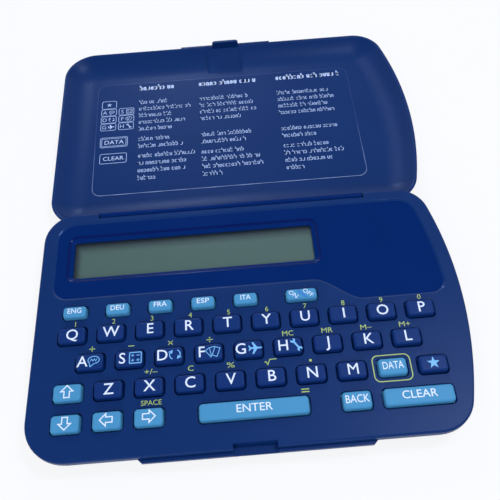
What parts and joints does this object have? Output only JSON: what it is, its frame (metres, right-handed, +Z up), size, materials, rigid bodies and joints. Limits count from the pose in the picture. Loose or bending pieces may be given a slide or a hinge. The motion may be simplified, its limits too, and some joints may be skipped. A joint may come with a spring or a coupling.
{
  "type": "handheld translator",
  "caption": "Pocket electronic translator: slim dished case with a letter keyboard and a one-line display, and a flat lid hinged to its back edge, shown open.",
  "frame": {"origin": "centre of the lower case's footprint, on the surface it lies on", "axes": "+X to the right along the hinge, +Y to the back where the open lid lies, +Z up"},
  "size_m": [0.118, 0.1488, 0.0088],
  "materials": {
    "case_plastic": "fine moulded matte, navy blue",
    "dark_keys": "matte, dark navy",
    "light_keys": "matte, light blue",
    "guide_film": "thin printed film, satin",
    "clear_window": "clear acrylic, polished",
    "display_glass": "grey-green liquid crystal display, blank",
    "black_plastic": "moulded matte",
    "silicone": "moulded silicone rubber",
    "board_laminate": "glass-fibre laminate with green solder resist",
    "chip_resin": "black epoxy drop",
    "steel": "nickel-plated steel",
    "contact_metal": "spring bronze, nickel flashed"
  },
  "bodies": {
    "base": {"top_case": "case_plastic", "bottom_case": "case_plastic", "display_window": "clear_window", "lcd_panel": "display_glass", "lcd_frame": "black_plastic", "elastomer_connector": "silicone", "circuit_board": "board_laminate", "processor_chip": "chip_resin", "memory_chip": "chip_resin", "clock_crystal": "steel", "keypad_mat": "silicone", "battery": "steel", "battery_plus_contact": "contact_metal", "battery_minus_contact": "contact_metal", "case_screws": "steel", "hinge_pins": "steel"},
    "lid": {"lid": "case_plastic", "guide_label": "guide_film"},
    "battery_door": {"battery_door": "case_plastic"},
    "key_eng": {"key_eng": "light_keys"},
    "key_deu": {"key_deu": "light_keys"},
    "key_fra": {"key_fra": "light_keys"},
    "key_esp": {"key_esp": "light_keys"},
    "key_ita": {"key_ita": "light_keys"},
    "key_on_off": {"key_on_off": "light_keys"},
    "key_q": {"key_q": "dark_keys"},
    "key_w": {"key_w": "dark_keys"},
    "key_e": {"key_e": "dark_keys"},
    "key_r": {"key_r": "dark_keys"},
    "key_t": {"key_t": "dark_keys"},
    "key_y": {"key_y": "dark_keys"},
    "key_u": {"key_u": "dark_keys"},
    "key_i": {"key_i": "dark_keys"},
    "key_o": {"key_o": "dark_keys"},
    "key_p": {"key_p": "dark_keys"},
    "key_a": {"key_a": "dark_keys"},
    "key_s": {"key_s": "dark_keys"},
    "key_d": {"key_d": "dark_keys"},
    "key_f": {"key_f": "dark_keys"},
    "key_g": {"key_g": "dark_keys"},
    "key_h": {"key_h": "dark_keys"},
    "key_j": {"key_j": "dark_keys"},
    "key_k": {"key_k": "dark_keys"},
    "key_l": {"key_l": "dark_keys"},
    "key_up": {"key_up": "light_keys"},
    "key_z": {"key_z": "dark_keys"},
    "key_x": {"key_x": "dark_keys"},
    "key_c": {"key_c": "dark_keys"},
    "key_v": {"key_v": "dark_keys"},
    "key_b": {"key_b": "dark_keys"},
    "key_n": {"key_n": "dark_keys"},
    "key_m": {"key_m": "dark_keys"},
    "key_data": {"key_data": "light_keys"},
    "key_star": {"key_star": "dark_keys"},
    "key_down": {"key_down": "light_keys"},
    "key_left": {"key_left": "light_keys"},
    "key_right": {"key_right": "light_keys"},
    "key_enter": {"key_enter": "light_keys"},
    "key_back": {"key_back": "light_keys"},
    "key_clear": {"key_clear": "light_keys"}
  },
  "joints": [
    {"name": "lid_hinge", "type": "hinge", "parent": "base", "child": "lid", "pos_m": [0, 0.0363, 0.0065], "axis": [1, 0, 0], "range_deg": [0, 180]},
    {"name": "battery_door_turn", "type": "hinge", "parent": "base", "child": "battery_door", "pos_m": [0.038, 0.015, 0], "axis": [0, 0, 1], "range_deg": [0, 40]},
    {"name": "eng_press", "type": "slide", "parent": "base", "child": "key_eng", "axis": [0, 0, -1], "range_m": [0, 0.0008], "stiffness_N_per_m": 500},
    {"name": "deu_press", "type": "slide", "parent": "base", "child": "key_deu", "axis": [0, 0, -1], "range_m": [0, 0.0008], "stiffness_N_per_m": 500},
    {"name": "fra_press", "type": "slide", "parent": "base", "child": "key_fra", "axis": [0, 0, -1], "range_m": [0, 0.0008], "stiffness_N_per_m": 500},
    {"name": "esp_press", "type": "slide", "parent": "base", "child": "key_esp", "axis": [0, 0, -1], "range_m": [0, 0.0008], "stiffness_N_per_m": 500},
    {"name": "ita_press", "type": "slide", "parent": "base", "child": "key_ita", "axis": [0, 0, -1], "range_m": [0, 0.0008], "stiffness_N_per_m": 500},
    {"name": "on_off_press", "type": "slide", "parent": "base", "child": "key_on_off", "axis": [0, 0, -1], "range_m": [0, 0.0008], "stiffness_N_per_m": 500},
    {"name": "q_press", "type": "slide", "parent": "base", "child": "key_q", "axis": [0, 0, -1], "range_m": [0, 0.0008], "stiffness_N_per_m": 500},
    {"name": "w_press", "type": "slide", "parent": "base", "child": "key_w", "axis": [0, 0, -1], "range_m": [0, 0.0008], "stiffness_N_per_m": 500},
    {"name": "e_press", "type": "slide", "parent": "base", "child": "key_e", "axis": [0, 0, -1], "range_m": [0, 0.0008], "stiffness_N_per_m": 500},
    {"name": "r_press", "type": "slide", "parent": "base", "child": "key_r", "axis": [0, 0, -1], "range_m": [0, 0.0008], "stiffness_N_per_m": 500},
    {"name": "t_press", "type": "slide", "parent": "base", "child": "key_t", "axis": [0, 0, -1], "range_m": [0, 0.0008], "stiffness_N_per_m": 500},
    {"name": "y_press", "type": "slide", "parent": "base", "child": "key_y", "axis": [0, 0, -1], "range_m": [0, 0.0008], "stiffness_N_per_m": 500},
    {"name": "u_press", "type": "slide", "parent": "base", "child": "key_u", "axis": [0, 0, -1], "range_m": [0, 0.0008], "stiffness_N_per_m": 500},
    {"name": "i_press", "type": "slide", "parent": "base", "child": "key_i", "axis": [0, 0, -1], "range_m": [0, 0.0008], "stiffness_N_per_m": 500},
    {"name": "o_press", "type": "slide", "parent": "base", "child": "key_o", "axis": [0, 0, -1], "range_m": [0, 0.0008], "stiffness_N_per_m": 500},
    {"name": "p_press", "type": "slide", "parent": "base", "child": "key_p", "axis": [0, 0, -1], "range_m": [0, 0.0008], "stiffness_N_per_m": 500},
    {"name": "a_press", "type": "slide", "parent": "base", "child": "key_a", "axis": [0, 0, -1], "range_m": [0, 0.0008], "stiffness_N_per_m": 500},
    {"name": "s_press", "type": "slide", "parent": "base", "child": "key_s", "axis": [0, 0, -1], "range_m": [0, 0.0008], "stiffness_N_per_m": 500},
    {"name": "d_press", "type": "slide", "parent": "base", "child": "key_d", "axis": [0, 0, -1], "range_m": [0, 0.0008], "stiffness_N_per_m": 500},
    {"name": "f_press", "type": "slide", "parent": "base", "child": "key_f", "axis": [0, 0, -1], "range_m": [0, 0.0008], "stiffness_N_per_m": 500},
    {"name": "g_press", "type": "slide", "parent": "base", "child": "key_g", "axis": [0, 0, -1], "range_m": [0, 0.0008], "stiffness_N_per_m": 500},
    {"name": "h_press", "type": "slide", "parent": "base", "child": "key_h", "axis": [0, 0, -1], "range_m": [0, 0.0008], "stiffness_N_per_m": 500},
    {"name": "j_press", "type": "slide", "parent": "base", "child": "key_j", "axis": [0, 0, -1], "range_m": [0, 0.0008], "stiffness_N_per_m": 500},
    {"name": "k_press", "type": "slide", "parent": "base", "child": "key_k", "axis": [0, 0, -1], "range_m": [0, 0.0008], "stiffness_N_per_m": 500},
    {"name": "l_press", "type": "slide", "parent": "base", "child": "key_l", "axis": [0, 0, -1], "range_m": [0, 0.0008], "stiffness_N_per_m": 500},
    {"name": "up_press", "type": "slide", "parent": "base", "child": "key_up", "axis": [0, 0, -1], "range_m": [0, 0.0008], "stiffness_N_per_m": 500},
    {"name": "z_press", "type": "slide", "parent": "base", "child": "key_z", "axis": [0, 0, -1], "range_m": [0, 0.0008], "stiffness_N_per_m": 500},
    {"name": "x_press", "type": "slide", "parent": "base", "child": "key_x", "axis": [0, 0, -1], "range_m": [0, 0.0008], "stiffness_N_per_m": 500},
    {"name": "c_press", "type": "slide", "parent": "base", "child": "key_c", "axis": [0, 0, -1], "range_m": [0, 0.0008], "stiffness_N_per_m": 500},
    {"name": "v_press", "type": "slide", "parent": "base", "child": "key_v", "axis": [0, 0, -1], "range_m": [0, 0.0008], "stiffness_N_per_m": 500},
    {"name": "b_press", "type": "slide", "parent": "base", "child": "key_b", "axis": [0, 0, -1], "range_m": [0, 0.0008], "stiffness_N_per_m": 500},
    {"name": "n_press", "type": "slide", "parent": "base", "child": "key_n", "axis": [0, 0, -1], "range_m": [0, 0.0008], "stiffness_N_per_m": 500},
    {"name": "m_press", "type": "slide", "parent": "base", "child": "key_m", "axis": [0, 0, -1], "range_m": [0, 0.0008], "stiffness_N_per_m": 500},
    {"name": "data_press", "type": "slide", "parent": "base", "child": "key_data", "axis": [0, 0, -1], "range_m": [0, 0.0008], "stiffness_N_per_m": 500},
    {"name": "star_press", "type": "slide", "parent": "base", "child": "key_star", "axis": [0, 0, -1], "range_m": [0, 0.0008], "stiffness_N_per_m": 500},
    {"name": "down_press", "type": "slide", "parent": "base", "child": "key_down", "axis": [0, 0, -1], "range_m": [0, 0.0008], "stiffness_N_per_m": 500},
    {"name": "left_press", "type": "slide", "parent": "base", "child": "key_left", "axis": [0, 0, -1], "range_m": [0, 0.0008], "stiffness_N_per_m": 500},
    {"name": "right_press", "type": "slide", "parent": "base", "child": "key_right", "axis": [0, 0, -1], "range_m": [0, 0.0008], "stiffness_N_per_m": 500},
    {"name": "enter_press", "type": "slide", "parent": "base", "child": "key_enter", "axis": [0, 0, -1], "range_m": [0, 0.0008], "stiffness_N_per_m": 500},
    {"name": "back_press", "type": "slide", "parent": "base", "child": "key_back", "axis": [0, 0, -1], "range_m": [0, 0.0008], "stiffness_N_per_m": 500},
    {"name": "clear_press", "type": "slide", "parent": "base", "child": "key_clear", "axis": [0, 0, -1], "range_m": [0, 0.0008], "stiffness_N_per_m": 500}
  ]
}
